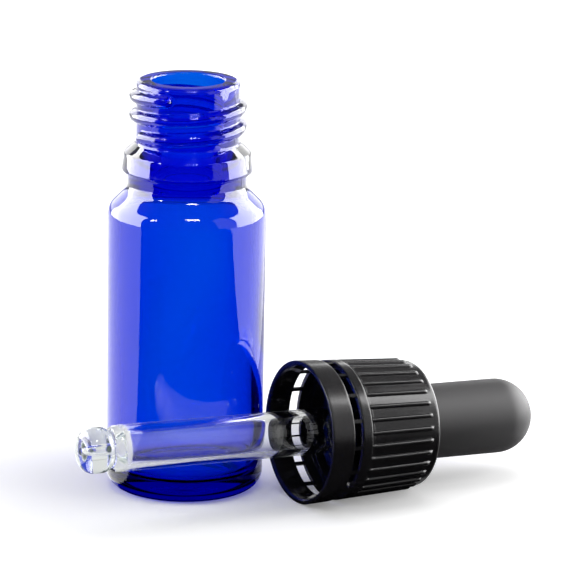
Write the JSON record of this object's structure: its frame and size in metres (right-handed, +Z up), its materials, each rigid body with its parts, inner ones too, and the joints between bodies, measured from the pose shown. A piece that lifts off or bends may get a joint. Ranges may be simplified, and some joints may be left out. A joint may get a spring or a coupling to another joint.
{
  "type": "dropper bottle",
  "caption": "Small cobalt-blue glass bottle with a screw neck, standing open beside its dropper: glass pipette, rubber bulb and ribbed cap with a tamper ring.",
  "frame": {"origin": "middle of the bottle's foot, in the plane that it stands on", "axes": "+Z up along the bottle's axis, -Y towards the viewer of the picture, +X to the viewer's right"},
  "size_m": [0.0709, 0.0408, 0.0642],
  "materials": {
    "cobalt_glass": "cobalt-blue moulded glass, fire-polished",
    "clear_glass": "clear drawn glass",
    "black_rubber": "matt black moulded rubber",
    "black_plastic": "black moulded polypropylene, half-gloss"
  },
  "bodies": {
    "bottle": {"bottle": "cobalt_glass"},
    "cap": {"screw_cap": "black_plastic", "tamper_ring": "black_plastic", "tamper_bridges": "black_plastic"},
    "pipette": {"glass_pipette": "clear_glass"},
    "bulb": {"rubber_bulb": "black_rubber"}
  },
  "joints": [
    {"name": "dropper_lift", "type": "slide", "parent": "bottle", "child": "cap", "axis": [0, 0, 1], "range_m": [0, 0.12]},
    {"name": "teat_turn", "type": "hinge", "parent": "cap", "child": "pipette", "pos_m": [0.01755, -0.00913, 0.01109], "axis": [0.8908, 0.4519, -0.0471], "continuous": true},
    {"name": "bulb_squeeze", "type": "slide", "parent": "pipette", "child": "bulb", "axis": [0, 0, -1], "range_m": [0, 0.003], "stiffness_N_per_m": 1500, "deforming": ["rubber_bulb"]}
  ]
}
